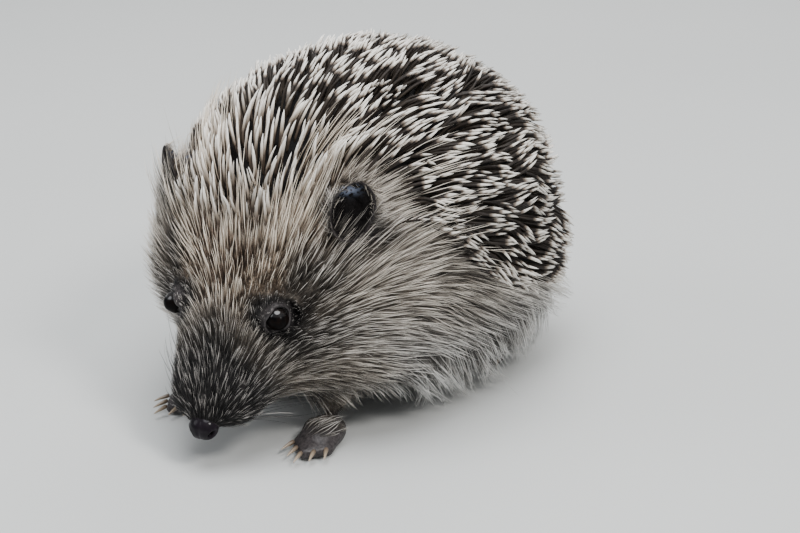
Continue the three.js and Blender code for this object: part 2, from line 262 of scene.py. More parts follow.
# Where each kind of coat grows. The spines end along a hem that falls from the crown to the flank.
spineHem = {
    "along": [-46, -42.5, -38, -34, -28, -15, -1.5, 26, 55, 70],
    "heights": [88, 81, 75, 68, 62, 51, 41, 29, 24, 22],
    "skew": 0.123,  # the hem is further forward on the right, as the head turns left
    "softness": 5.0,
    "crownLeft": [-28, -18, -9, 0, 6, 11, 15, 21, 26],
    "crownForward": [9, 14, 17, 18, 17, 14, 10, 2, -6],
}


def nearestEye(points):
    return np.min([distanceFrom(points, centre) for centre in eyeCentres.values()], axis=0)


def nearestEar(points):
    return np.min([distanceFrom(points, centre) for centre in (leftEar, rightEar)], axis=0)


# Middle lines of the left lower legs and of the tail, from top to bottom.
limbLines = {
    "front": ((18, -24.9, 20), (21, -36.9, 2.5)),
    "hind": ((24, 41, 16), (26, 49, 2.5)),
    "tail": ((0, 66, 18.5), (0, 75, 13.5)),
}


def nearestLimb(points):
    # the right legs are measured as if they were the left ones
    mirrored = points.copy()
    mirrored[:, 0] = np.abs(mirrored[:, 0])
    distances = []
    for top, bottom in limbLines.values():
        top, bottom = np.array(top, float), np.array(bottom, float)
        way = bottom - top
        share = np.clip((mirrored - top) @ way / (way @ way), 0, 1)
        distances.append(np.linalg.norm(mirrored - top - share[:, None] * way, axis=1))
    return np.min(distances, axis=0)


def coatZones(points):
    # how far each point belongs to the spines, the dark mask, the straw forehead, the pale belly and the face
    forward, left, up = toHead(points).T
    aside, height = np.abs(left), points[:, 2]
    eye, ear, limb = nearestEye(points), nearestEar(points), nearestLimb(points)
    along = points[:, 1] - spineHem["skew"] * points[:, 0]
    hem = np.interp(along, spineHem["along"], spineHem["heights"])
    soft = spineHem["softness"]
    spiny = ramp(height - hem, -soft, soft) * ramp(along, -52, -44)
    crownHem = np.interp(left, spineHem["crownLeft"], spineHem["crownForward"])
    crown = ramp(crownHem - forward, -soft, soft) * ramp(up, -9, -4) * ramp(height, 55, 62)
    spiny = np.maximum(spiny, crown) * ramp(ear, 10, 15)
    onFace = ramp(up, -36, -24) * (1 - ramp(points[:, 1], -34, -22))
    onFace = onFace * np.where(height < 14, ramp(limb, 7, 11), 1)  # not the paws
    muzzle = ramp(forward - 0.25 * aside + 0.35 * up, 34, 48)
    # the dark ring of the eye fades soon above it and slowly below
    brow = ramp(36 - forward, 2, 8) * ramp(up, -6, -1)
    under = ramp(-up, 6, 13)
    ring = 1 - ramp(eye - 5.5 + brow, 0, 8 - 5 * brow + 12 * under)
    mask = np.maximum(muzzle, ring) * onFace
    # a dark band leads from the eye to the ear
    behindEye = (1 - ramp(np.abs(up + 3.5 - 0.18 * (35 - forward)), 2, 6)) * ramp(forward, 14, 24)
    behindEye = behindEye * ramp(aside, 14, 18) * (1 - ramp(aside, 26, 32))
    mask = np.maximum(mask, 0.7 * behindEye * onFace)
    beforeEar = (1 - ramp(ear, 11, 17)) * ramp(forward - leftEarForward, -4, 2)
    mask = np.maximum(mask, 0.8 * beforeEar * onFace)
    straw = ramp(up + 0.1 * forward, -6, 4) * (1 - ramp(aside, 20, 30)) * (1 - mask) * onFace
    pale = (1 - ramp(height, 20, 48)) * (1 - onFace * ramp(forward, 30, 42))
    pale = pale * (0.2 + 0.8 * ramp(limb, 7, 12))
    return {"spiny": spiny, "mask": mask, "straw": straw, "pale": pale, "onFace": onFace}


# How far the skin lies below the tips of the coat. A pair of lists is places and the depths there.
depthPlan = {
    "face": ([-12, 8, 26, 38, 46, 56, 66], [10, 7.5, 5.5, 3.8, 2.6, 1.8, 1.2]),  # forward on the head
    "flank": ([6, 20, 40], [5, 6.5, 7]),  # over the floor
    "spines": 13.5,
    "limbs": 1.6,
}


def coatDepth(points):
    zones = coatZones(points)
    face = np.interp(toHead(points)[:, 0], *depthPlan["face"])
    flank = np.interp(points[:, 2], *depthPlan["flank"])
    depth = flank + (face - flank) * zones["onFace"]
    crown = ramp(points[:, 2], 60, 85) * (1 - ramp(points[:, 1], -20, 10))
    depth = depth + (depthPlan["spines"] - crown - depth) * zones["spiny"]
    depth = np.minimum(depth, 2.2 + 6 * ramp(nearestEye(points), 4, 14))
    depth = np.minimum(depth, 4.5 + 9 * ramp(nearestEar(points), 8, 22))
    thin = 1 - ramp(nearestLimb(points), 7, 12)
    return depth - (depth - np.minimum(depth, depthPlan["limbs"])) * thin


# The skin starts as the solids of the flesh in one piece, and is then drawn in below the coat.
skinPlan = {
    "coarse": 1.2,  # mesh size while the skin is drawn in
    "fine": 0.82,  # mesh size of the finished skin
    "grow": 0.35,  # closes the partings between the solids
    "steps": 12,
    "floor": 0.12,  # the soles stay this far above the floor
}
bodyNodes = ["rump", "trunk", "shoulders", "neck", "head", "chest", "snout", "lower_jaw"]
legNodes = [f"{end}_leg_{side}" for end in ("front", "hind") for side in sides]
footNodes = [f"{end}_foot_{side}" for end in ("front", "hind") for side in sides]
earNodes = ["ear_" + side for side in sides]


def earMatrix(place, out):
    # the directions of an ear, at its middle moved out
    axes = np.stack([place["wide"], place["upright"], place["facing"]])
    return turnedMatrix(place["centre"] + np.array([0, 0, out], float) @ axes, axes)


def makeCoatForm():
    parts = [mergedCopy(name) for name in bodyNodes + legNodes + ["eye_left", "eye_right", "nose", "tail"]]
    for part in parts:
        writePoints(part, readPoints(part) + readPoints(part, "normal") * skinPlan["grow"])
    parts += [addEgg((8.4, 8.9, 3), earMatrix(place, -1.4)) for place in earPlaces.values()]
    form = joinAll(parts, "coatForm")
    remesh(form, skinPlan["coarse"])
    soften(form, 14, 0.5)
    return form


def drawIn(form):
    edges = readEdges(form)
    depth = averageOver(edges, coatDepth(readPoints(form))[:, None], 10, 0.6)
    for _ in range(skinPlan["steps"]):
        normals = unit(averageOver(edges, readPoints(form, "normal"), 3))
        points = readPoints(form) - normals * depth / skinPlan["steps"]
        writePoints(form, averageOver(edges, points, 2, 0.35))


coatForm = makeCoatForm()
skin = addObject("skin", coatForm.data.copy())
drawIn(skin)
coatTree = BVHTree.FromPolygons(
    [Vector(p) for p in readPoints(coatForm)], [tuple(f.vertices) for f in coatForm.data.polygons])
bpy.data.objects.remove(coatForm)
print("skin drawn in:", len(skin.data.vertices), "points")

earPlan = {
    "shift": (-2.6, 0.0, -3.0),  # from the middle of the solid flap: to the rear, up and out
    "half": (6.6, 9.3),  # across and up the flap
    "thickness": 0.75,
    "cup": 2.9,
    "curl": 0.5,  # the rim turns out by this much
    "canal": (-0.6, -1.2),  # place across and up of the dark hollow
    "canalRadius": 4.2,
    "canalDepth": 3.2,
    "fold": 0.55,  # height of the fold round the hollow
    "stalk": (5.0, 5.4, 6.2),
    "stalkOut": -4.9,
}


def earAxes(name):
    # to the rear, up and out of the ear
    place = earPlaces[name]
    return np.stack([place["wide"] * sides[name], place["upright"], place["facing"]])


def inEar(points, name):
    return (points - earPlaces[name]["centre"]) @ earAxes(name).T - earPlan["shift"]


def fromCanal(across, up):
    # distance from the middle of the ear's hollow, 1 at its edge
    return np.hypot(across - earPlan["canal"][0], up - earPlan["canal"][1]) / earPlan["canalRadius"]


def addStalks():
    stalks = []
    for name, place in earPlaces.items():
        stalk = addEgg(earPlan["stalk"], earMatrix(place, earPlan["stalkOut"]))
        writePoints(stalk, readPoints(stalk) + np.array(earPlan["shift"]) @ earAxes(name))
        stalks.append(stalk)
    return stalks


def addEarFlaps():
    # thin cupped flaps with a soft fold round the hollow
    flaps = []
    for name, place in earPlaces.items():
        flap = addEgg((1, 1, 1), Matrix.Identity(4), 56, 40)
        x, y, z = readPoints(flap).T
        radius = np.hypot(x, y)
        turn = np.arctan2(y, x)
        width, height = earPlan["half"]
        outline = 1 + 0.035 * np.sin(2 * turn + 0.6) + 0.02 * np.sin(5 * turn)
        across, up = x * width * outline, y * height * outline
        thick = earPlan["thickness"] * (0.55 + 0.45 * (1 - radius ** 4))
        flat = z / np.maximum(np.sqrt(1 - radius ** 2 * 0.9), 0.2)
        out = earPlan["cup"] * radius ** 2.2 + flat * thick / 2
        curl = ramp(radius, 0.8, 1.0)
        across, up = across * (1 - 0.06 * curl), up * (1 - 0.06 * curl)
        out = out + earPlan["curl"] * curl
        canal = fromCanal(across, up)
        front = z > -0.02
        out = out - earPlan["canalDepth"] * np.exp(-canal ** 2) * front
        out = out + earPlan["fold"] * np.exp(-((canal - 1.25) / 0.3) ** 2) * front * (radius < 0.9)
        local = np.stack([across, up, out], axis=1) + earPlan["shift"]
        writePoints(flap, place["centre"] + local @ earAxes(name))
        if sides[name] > 0:
            flap.data.flip_normals()
        flaps.append(flap)
    return flaps


def addFeet():
    pieces = [mergedCopy(name) for name in footNodes]
    for piece in pieces:
        applyModifier(piece, "SUBSURF", levels=1, render_levels=1)
        points = readPoints(piece) + readPoints(piece, "normal") * skinPlan["grow"]
        points[:, 2] = np.maximum(points[:, 2], skinPlan["floor"])
        writePoints(piece, points)
    return pieces


def hollowAt(points, name):
    # 1 in the ear's hollow, 0 outside it; the skin there gets painted shade
    across, up, out = inEar(points, name).T
    return np.exp(-fromCanal(across, up) ** 2) * (np.hypot(across, up) < 8) * (out > -4) * (out < 5)


def refine(piece, chosen, cuts):
    selectOnly(piece)
    mesh = piece.data
    for group in (mesh.vertices, mesh.edges, mesh.polygons):
        group.foreach_set("select", np.zeros(len(group), bool))
    mesh.vertices.foreach_set("select", chosen)
    bpy.ops.object.mode_set(mode="EDIT")
    bpy.ops.mesh.select_mode(type="VERT")
    bpy.ops.mesh.subdivide(number_cuts=cuts)
    bpy.ops.object.mode_set(mode="OBJECT")


skin = joinAll([skin, *addStalks(), *addFeet()], "skin")
remesh(skin, skinPlan["fine"])
soften(skin, 4, 0.5)
print("skin in one piece:", len(skin.data.vertices), "points")

eyePlan = {
    "facing": (0.52, 0.74, 0.43),  # forward, left and up of the head, for the left eye
    "opening": 3.05,  # radius of the opening between the lids
    "lidWidth": 1.0,
    "lidRise": 0.35,
    "crease": 0.25,  # depth of the fold round the lids
    "reach": 8.5,  # the lids change the skin no further out
    "swell": 0.3,  # the front of the eye stands out a little
}
lidFacing = {name: headWay(eyePlan["facing"], side) for name, side in sides.items()}


def shapeLids():
    for name, centre in eyeCentres.items():
        refine(skin, distanceFrom(readPoints(skin), centre) < eyePlan["reach"], 2)
        points = readPoints(skin)
        away = distanceFrom(points, centre)
        axis = lidFacing[name]
        offset = points - centre
        height = offset @ axis
        across = offset - height[:, None] * axis
        radius = np.linalg.norm(across, axis=1)
        # the corners of the eye point along the muzzle, so the opening is a little longer that way
        corner = unit(headForward - (headForward @ axis) * axis)
        cosine = dot(unit(across), corner)
        opening = eyePlan["opening"] * (1 + 0.14 * cosine ** 2 + 0.10 * np.clip(cosine, 0, 1) ** 6)
        ball = np.sqrt(np.maximum(eyeRadius ** 2 - np.minimum(radius, eyeRadius) ** 2, 0))
        share = (radius - opening) / eyePlan["lidWidth"]
        rim = np.sqrt(np.maximum(eyeRadius ** 2 - opening ** 2, 0))
        swell = np.sqrt(np.clip(1 - (2 * share - 1) ** 2, 0, 1))
        lid = rim + eyePlan["lidRise"] * swell - 0.5 * np.clip(share, 0, 3)
        inside = ball - 0.9 - 0.5 * (opening - radius)
        wanted = np.where(radius < opening, inside, lid)
        crease = -eyePlan["crease"] * np.exp(-((share - 1.25) / 0.22) ** 2)
        weight = (1 - ramp(radius, opening + 1.6, eyePlan["reach"] - 1.5)) * (height > -3)
        weight = weight * (away < eyePlan["reach"])
        moved = height + (wanted + crease - height) * weight
        writePoints(skin, points + (moved - height)[:, None] * axis)
        near = away < eyePlan["reach"] + 1
        rounded = averageOver(readEdges(skin), readPoints(skin), 2, 0.4)
        writePoints(skin, np.where(near[:, None], rounded, readPoints(skin)))


shapeLids()
skin = joinAll([skin, *addEarFlaps()], "skin")
print("lids and ears shaped:", len(skin.data.vertices), "points")


# The coat grows from the skin as many thin closed strands. Each strand has its place on the skin,
# the way it lies, and the attributes that its material reads.

def layOfCoat(points, normals, droop=0.0):
    # away from the nose on the head, then back along the body, and down over the rump
    fromNose = points - onHead(76, 0, -13)
    distance = np.linalg.norm(fromNose, axis=1, keepdims=True)
    low = 1 - ramp(points[:, 2:], 35, 60)
    fall = 0.28 + droop + 0.3 * low + 1.3 * ramp(points[:, 1:2], 35, 75)
    back = np.concatenate([0.10 * points[:, :1] / 50, np.ones_like(fall), -fall], axis=1)
    share = ramp(distance + 18 * low, 60, 106 - 8 * low)
    way = unit(fromNose) * (1 - share) + unit(back) * share
    for centre in eyeCentres.values():
        fromEye = points - centre
        away = np.linalg.norm(fromEye, axis=1, keepdims=True)
        way = way + 0.7 * (1 - ramp(away, 4.5, 8.5)) * unit(fromEye)
    way = way - dot(way, normals)[:, None] * normals
    return unit(way)


def bodyUnwrap(points):
    # the angle round the middle line of the body and the distance along it, both within 0 and 1
    line = [onHead(48, 0, -13), np.array([-1.0, -25.0, 57.0]), np.array([0.0, 38.0, 50.0])]
    best = np.full(len(points), 1e9)
    angle, along = np.zeros(len(points)), np.zeros(len(points))
    start, cap = 0.0, 30  # a radian over either end counts as this many millimetres
    for i, (head, tail) in enumerate(zip(line, line[1:])):
        length = np.linalg.norm(tail - head)
        way = (tail - head) / length
        left = unit(np.cross(way, np.cross(np.array([1.0, 0, 0]), way)))
        over = np.cross(left, way)
        reach = (points - head) @ way
        radial = points - head - reach[:, None] * way
        radius = np.linalg.norm(radial, axis=1)
        before, after = np.minimum(reach, 0), np.maximum(reach - length, 0)
        outer, inner = (before, after) if i == 0 else (after, before)
        place = np.clip(reach, 0, length) + cap * np.arctan2(outer, radius)
        distance = np.hypot(radius, inner)
        nearer = distance < best
        best = np.where(nearer, distance, best)
        along = np.where(nearer, start + place, along)
        angle = np.where(nearer, np.arctan2(radial @ left, -(radial @ over)), angle)
        start += length
    total = start + cap * math.pi
    across = angle / (2 * math.pi) + 0.5
    margin, used = 0.02, 0.96
    return np.stack([margin + used * across, margin + used * (along + cap * math.pi / 2) / total], axis=1)


def makeGround():
    # what the strands grow from: the skin's faces with their areas and softened directions
    mesh = skin.data
    mesh.calc_loop_triangles()
    corners = np.empty(len(mesh.loop_triangles) * 3, np.int32)
    mesh.loop_triangles.foreach_get("vertices", corners)
    corners = corners.reshape(-1, 3)
    points = readPoints(skin)
    normals = unit(averageOver(readEdges(skin), readPoints(skin, "normal"), 6))
    a, b, c = (points[corners[:, i]] for i in range(3))
    return {
        "points": points,
        "normals": normals,
        "corners": corners,
        "middles": (a + b + c) / 3,
        "facing": unit(normals[corners].sum(axis=1)),
        "areas": np.linalg.norm(np.cross(b - a, c - a), axis=1) / 2,
    }


ground = makeGround()


def scatter(density):
    # roots on the skin, so many to a square millimetre
    wanted = ground["areas"] * density(ground["middles"], ground["facing"])
    total = int(wanted.sum())
    faces = random.choice(len(wanted), size=total, p=wanted / wanted.sum())
    u, v = random.random(total), random.random(total)
    flip = u + v > 1
    u, v = np.where(flip, 1 - u, u), np.where(flip, 1 - v, v)
    weights = np.stack([1 - u - v, u, v], axis=1)[:, :, None]
    corners = ground["corners"][faces]
    roots = (ground["points"][corners] * weights).sum(axis=1)
    normals = unit((ground["normals"][corners] * weights).sum(axis=1))
    return roots, normals


def thinOut(points, gap):
    # leaves only points that are at least the gap apart
    tree = KDTree(len(points))
    for i, point in enumerate(points):
        tree.insert(point, i)
    tree.balance()
    kept = np.ones(len(points), bool)
    for i, point in enumerate(points):
        if kept[i]:
            for _, j, _ in tree.find_range(point, gap):
                if j > i:
                    kept[j] = False
    return np.flatnonzero(kept)


def nearestOf(points, centres):
    tree = KDTree(len(centres))
    for i, centre in enumerate(centres):
        tree.insert(centre, i)
    tree.balance()
    return np.array([tree.find(point)[1] for point in points])


def heightOverCoat(points):
    # signed distance to the outline of the coat, and the outline's direction there
    height, outward = np.empty(len(points)), np.empty((len(points), 3))
    for i, point in enumerate(points):
        place, normal, _, _ = coatTree.find_nearest(point)
        outward[i] = normal
        height[i] = (Vector(point) - place).dot(normal)
    return height, outward


def growStrands(name, plan, roots, normals, lengths, lay):
    # long pale strands lie over shorter and darker ones; the darker lower strands are partly the coat's own
    # colour and partly painted shade deep in the coat
    count = len(roots)
    upper = random.random(count) < plan["over"]
    lengths = lengths * np.where(upper, plan["overLength"], plan["underLength"])
    lift = np.radians(plan["lift"] + plan["liftSpread"] * random.standard_normal(count))
    lift = lift + np.radians(plan["liftAt"](roots))
    stray = plan["stray"] * random.standard_normal((count, 3)) * (1 - 0.6 * onCrown(roots))[:, None]
    first = unit(lay * np.cos(lift)[:, None] + normals * np.sin(lift)[:, None] + stray)
    last = unit(lay + 0.3 * normals + np.array([0, 0, -plan["sag"]]) + 0.6 * stray)
    bow = plan["bow"]
    ends = roots + lengths[:, None] * (first * (1 - bow) + last * bow)
    if plan["clump"]:
        centres = thinOut(roots, plan["clump"])
        group = nearestOf(roots, roots[centres])
        lead = centres[group]
        swing = plan["swing"] * random.standard_normal((len(centres), 3))
        swing = swing * (1 - 0.7 * onCrown(roots[centres]))[:, None]
        leadEnds = ends[lead] + lengths[:, None] * swing[group]
        spread = plan["gather"] * random.uniform(0.5, 1.2, count)
        spread = spread * ramp(nearestLimb(roots), 4, 13) * (0.25 + 0.75 * ramp(nearestEar(roots), 11, 20))
        ends = ends + np.clip(spread, 0, 0.95)[:, None] * (leadEnds - ends)
        ends = ends + lengths[:, None] * swing[group] * plan["together"]
        lockShade, lockHeight = random.random((2, len(centres)))[:, group]
    else:
        lockShade, lockHeight = random.random((2, count))
    over, outward = heightOverCoat(ends)
    lowest, highest = plan["tips"]
    evenness = 0.5 * lockHeight + 0.5 * random.random(count)
    middle = highest - plan["overTips"]
    wanted = np.where(upper, middle + evenness * (highest - middle), lowest + evenness * (middle - lowest))
    wanted = wanted + plan["tipsAt"](roots)
    free = upper & (random.random(count) < plan["flyaway"])
    shift = np.where(free, 0, wanted - over) * np.where(over > wanted, plan["press"], plan["raise"])
    ends = ends + outward * shift[:, None]
    stretch = lengths / np.maximum(np.linalg.norm(ends - roots, axis=1), 0.1)
    ends = roots + (ends - roots) * np.clip(stretch, 0.3, 1.0)[:, None]

    stations, girths = np.array(plan["stations"]), np.array(plan["girths"])
    # a curve that leaves the root along its first direction and comes in to its end
    middle = roots + first * (np.linalg.norm(ends - roots, axis=1) * 0.5)[:, None]
    t = np.append(stations, 1.0)[None, :, None]
    line = (1 - t) ** 2 * roots[:, None] + 2 * t * (1 - t) * middle[:, None] + t ** 2 * ends[:, None]
    line[:, :, 2] = np.maximum(line[:, :, 2], 0.5)  # nothing dips into the floor
    if plan["curl"]:
        wave = unit(np.cross(first, random.standard_normal((count, 3))))
        phase = random.uniform(0, 6.28, count)[:, None, None]
        swings = np.sin(t * random.uniform(4, 9, count)[:, None, None] + phase)
        line = line + plan["curl"] * swings * t * wave[:, None]
    way = unit(ends - roots)
    sideways = unit(np.cross(way, random.standard_normal((count, 3))))
    upward = np.cross(way, sideways)
    turns = 2 * math.pi * np.arange(plan["sides"]) / plan["sides"]
    ring = np.cos(turns)[None, :, None] * sideways[:, None] + np.sin(turns)[None, :, None] * upward[:, None]
    thick = plan["thickness"] / 2 * random.uniform(0.8, 1.2, count) * np.where(upper, 1, plan["underGirth"])
    thick = thick * (1 + plan["thickerAt"](roots)) * np.clip(lengths / plan["fullAt"], 0.5, 1)
    rings = line[:, :-1, None] + ring[:, None] * (girths[None, :, None, None] * thick[:, None, None, None])
    points = np.concatenate([rings.reshape(count, -1, 3), line[:, -1:]], axis=1)
    lockShare = plan["lockShare"]
    shade = lockShare * lockShade + (1 - lockShare) * random.random(count)
    shade = np.where(upper, plan["overShade"] + (1 - plan["overShade"]) * shade, plan["overShade"] * shade)
    shade = np.clip(shade + plan["shadeAt"](roots), 0, 1.3)
    return buildStrands(name, plan, points, roots, shade)


def onCrown(roots):
    return ramp(-roots[:, 1], 5, 36) * ramp(roots[:, 2], 50, 72)


def buildStrands(name, plan, points, roots, shade):
    count, each = points.shape[:2]
    sideCount, rows = plan["sides"], len(plan["stations"])
    column = np.arange(sideCount)
    following = (column + 1) % sideCount
    quads = []
    for row in range(rows - 1):
        a, b = row * sideCount, (row + 1) * sideCount
        quads.append(np.stack([a + column, a + following, b + following, b + column], axis=1))
    quads = np.concatenate(quads).ravel() if quads else np.empty(0, int)
    top = (rows - 1) * sideCount
    tips = np.stack([top + column, top + following, np.full(sideCount, each - 1)], axis=1).ravel()
    butt = column[::-1]
    corners = np.concatenate([quads, tips, butt])
    sizes = np.array([4] * (len(quads) // 4) + [3] * sideCount + [sideCount])
    allCorners = (corners[None] + (np.arange(count) * each)[:, None]).ravel()
    allSizes = np.tile(sizes, count)
    mesh = bpy.data.meshes.new(name)
    mesh.vertices.add(count * each)
    mesh.vertices.foreach_set("co", (points * mm).astype(np.float32).ravel())
    mesh.loops.add(len(allCorners))
    mesh.loops.foreach_set("vertex_index", allCorners.astype(np.int32))
    mesh.polygons.add(len(allSizes))
    starts = np.concatenate([[0], np.cumsum(allSizes)[:-1]])
    mesh.polygons.foreach_set("loop_start", starts.astype(np.int32))
    mesh.polygons.foreach_set("loop_total", allSizes.astype(np.int32))
    mesh.update(calc_edges=True)
    alongEach = np.append(np.repeat(plan["stations"], sideCount), 1.0)
    zones = coatZones(roots)
    writeValues(mesh, {
        "along": np.tile(alongEach, count),
        "shade": np.repeat(shade, each),
        **{key: np.repeat(zones[key], each) for key in ("mask", "straw", "pale")},
    })
    # each strand has its own small patch of the map, at its root's place
    across = np.append(np.tile(column / sideCount, rows), 0.5) - 0.5
    patchSize = 0.003
    patch = patchSize * np.stack([across, alongEach - 0.5], axis=1)
    places = (bodyUnwrap(roots)[:, None] + patch[None]).reshape(-1, 2)
    layer = mesh.uv_layers.new(name="OFBake")
    layer.uv.foreach_set("vector", places[allCorners].astype(np.float32).ravel())
    print(name, count, "strands,", count * (2 * sideCount * rows - 2), "triangles")
    return addObject(name, mesh)


def nowhere(roots):
    return np.zeros(len(roots))


# Spines: cream tips over a dark band, in leaning bunches with dark gaps between them.
spinePlan = {
    "over": 1.0,  # share of the strands in the upper layer
    "underLength": 1.0,
    "overLength": 1.0,
    "underGirth": 1.0,
    "fullAt": 10,  # shorter strands are thinner
    "overTips": 3.2,  # the upper tips keep within this of the highest
    "overShade": 0.0,  # the lower strands are darker than this and the upper ones paler
    "lockShare": 0.4,  # share of the shade that is common to a lock
    "tipsAt": nowhere,
    "thickerAt": lambda roots: -0.08 * onCrown(roots),
    # painted light from above: spines high on the back come out paler
    "shadeAt": lambda roots: 0.3 * ramp(roots[:, 2], 62, 80) * (1 - ramp(roots[:, 1], 5, 30)),
    "gap": 1.62,  # least distance between roots
    "length": (15.5, 18.5),
    "thickness": 0.96,
    "sides": 5,
    "stations": [0, 0.12, 0.45, 0.76, 0.9],  # the rings along a strand
    "girths": [0.5, 0.85, 1.0, 0.92, 0.55],
    "lift": 62,  # degrees off the skin
    "liftSpread": 8,
    "liftAt": lambda roots: -4 * onCrown(roots),
    "stray": 0.06,  # how far single strands turn off the lay
    "sag": 0.0,
    "bow": 0.12,  # share of the way that has the direction of the end
    "clump": 8,  # least distance between the middles of locks
    "swing": 0.11,  # how far a lock turns as a whole
    "gather": 0.3,  # how far the ends of a lock draw together
    "together": 0.8,
    "tips": (-2.4, 0.8),  # lowest and highest over the outline of the coat
    "press": 0.92,  # share by which tips that are too high come down
    "raise": 0.7,  # and tips that are too low come up
    "flyaway": 0.0,  # share of the upper tips that are left where they are
    "curl": 0.0,
}


def growSpines(name, plan, side):

    def density(points, facing):
        return 0.6 * (coatZones(points)["spiny"] > 0.15) * (points[:, 0] * side > 0)

    roots, normals = scatter(density)
    kept = thinOut(roots, plan["gap"])
    roots, normals = roots[kept], normals[kept]
    edge = coatZones(roots)["spiny"]
    kept = edge > random.uniform(0.15, 0.75, len(roots))
    kept = kept & (random.random(len(roots)) > 0.2 * onCrown(roots))
    roots, normals, edge = roots[kept], normals[kept], edge[kept]
    lengths = random.uniform(*plan["length"], len(roots)) * (0.7 + 0.3 * ramp(edge, 0.2, 1))
    return growStrands(name, plan, roots, normals, lengths, layOfCoat(roots, normals))


spines = [growSpines("spines" + name.capitalize(), spinePlan, side) for name, side in sides.items()]


# Fur: its length at each place of the body, in millimetres.
def furLength(points):
    forward, _, up = toHead(points).T
    top = np.interp(forward, [-12, 5, 20, 34, 42, 50, 60, 70], [25, 23, 19, 14, 10, 6.5, 3.6, 2.0])
    cheek = np.interp(forward, [0, 20, 35, 45, 60], [17, 14, 10, 7.5, 4])
    face = cheek + (top - cheek) * ramp(up, -12, 2)
    body = np.interp(points[:, 2], [4, 14, 26, 45], [16, 31, 28, 20])
    length = body + (face - body) * coatZones(points)["onFace"]
    length = np.minimum(length, 1.1 + 0.8 * np.maximum(nearestEye(points) - 3.6, 0))
    before = ramp(forward - leftEarForward, 2, 7)
    byEar = 6 + 1.1 * np.maximum(distanceFrom(points, leftEar) - 7, 0) + 12 * before
    length = np.minimum(length, byEar)
    return length - (length - 3.4) * (1 - ramp(nearestLimb(points), 6, 12)) * (points[:, 2] < 20)


def raisedByRightEar(roots):
    # the hair in front of the right ear stands off and hides it
    return 3.5 * (1 - ramp(distanceFrom(roots, rightEar), 9, 20))


def paleBehindEar(roots):
    return 0.45 * (1 - ramp(nearestEar(roots), 15, 27)) * ramp(roots[:, 1], -33, -25) * (roots[:, 0] > 0)


def paleForehead(roots):
    # palest beside the left ear and darker to the right of the middle
    forward, left, _ = toHead(roots).T
    byEar = np.exp(-(((forward - 14) / 13) ** 2 + ((left - 13) / 8) ** 2))
    return 0.36 * byEar - 0.12 * ramp(-left, 10, 20) + paleBehindEar(roots)


def darkPaws(roots):
    return 0.6 * ramp(nearestLimb(roots), 5, 12) - 0.6


hairForm = {
    "sides": 3,
    "stations": [0, 0.35, 0.7],
    "girths": [0.7, 1.0, 0.75],
    "lift": 20,
    "liftSpread": 6,
    "liftAt": nowhere,
    "tipsAt": nowhere,
    "thickerAt": nowhere,
    "shadeAt": nowhere,
    "stray": 0.035,
    "sag": 0.1,
    "bow": 0.5,
    "curl": 0.0,
    "press": 0.9,
    "raise": 0.5,
    "together": 0.6,
    "flyaway": 0.01,
    "lockShare": 0.5,
    "over": 0.2,
    "overTips": 1.4,
    "overShade": 0.45,
    "overLength": 1.0,
    "underLength": 0.6,
    "underGirth": 0.7,
    "fullAt": 8,
}
furPlans = {
    "muzzleFur": {
        **hairForm, "count": 6.8, "thickness": 0.135, "lift": 13, "stray": 0.08, "sag": 0.0,
        "clump": 1.2, "gather": 0.3, "swing": 0.08, "tips": (-1.0, 0.5), "lockShare": 0.3,
        "over": 0.16, "overTips": 0.7, "underLength": 0.75,
    },
    "foreheadHair": {
        **hairForm, "count": 4.4, "thickness": 0.19, "lift": 22, "sag": -0.1, "bow": 0.4,
        "clump": 1.9, "gather": 0.5, "swing": 0.05, "flyaway": 0.04, "tips": (-4.5, 0.9),
        "over": 0.14, "overLength": 1.2, "tipsAt": raisedByRightEar, "shadeAt": paleForehead,
    },
    "cheekFur": {
        **hairForm, "count": 4.4, "thickness": 0.17, "over": 0.2, "overShade": 0.55, "overLength": 1.15,
        "clump": 1.7, "gather": 0.4, "swing": 0.06, "flyaway": 0.03, "tips": (-2.8, 0.8),
        "tipsAt": raisedByRightEar, "shadeAt": paleBehindEar,
    },
    "flankFur": {
        **hairForm, "count": 3.0, "thickness": 0.2, "over": 0.2, "overShade": 0.28,
        "clump": 2.2, "gather": 0.45, "swing": 0.06, "tips": (-3.5, 0.9), "shadeAt": paleBehindEar,
    },
    "fringe": {
        **hairForm, "count": 1.8, "thickness": 0.22, "lift": 16, "stray": 0.05, "sag": 1.0, "bow": 0.6,
        "clump": 3.4, "gather": 0.85, "swing": 0.12, "tips": (-3.0, 4.5), "curl": 0.2,
        "over": 0.3, "press": 0.7, "shadeAt": darkPaws,
    },
    "earHair": {
        **hairForm, "count": 6.0, "thickness": 0.17, "lift": 24, "stray": 0.2, "over": 0.35,
        "clump": 1.3, "gather": 0.3, "swing": 0.1, "tips": (-3.0, 0.6), "underLength": 0.7,
    },
    "whiskers": {
        **hairForm, "count": 0.16, "thickness": 0.15, "length": (14, 25), "lift": 30, "liftSpread": 12,
        "stray": 0.16, "sag": 0.35, "bow": 0.7, "clump": 0, "tips": (0, 0), "press": 0, "raise": 0,
        "over": 1.0, "overShade": 0.0,
        "stations": [0, 0.2, 0.45, 0.7, 0.88], "girths": [1.0, 1.0, 0.85, 0.6, 0.4],
    },
    "guardHair": {
        **hairForm, "count": 0.16, "thickness": 0.24, "length": (20, 29), "lift": 44, "stray": 0.09,
        "clump": 0, "tips": (0.5, 4.0), "press": 0.7, "raise": 0.8,
        "over": 1.0, "overTips": 3.5, "shadeAt": paleBehindEar,
    },
}


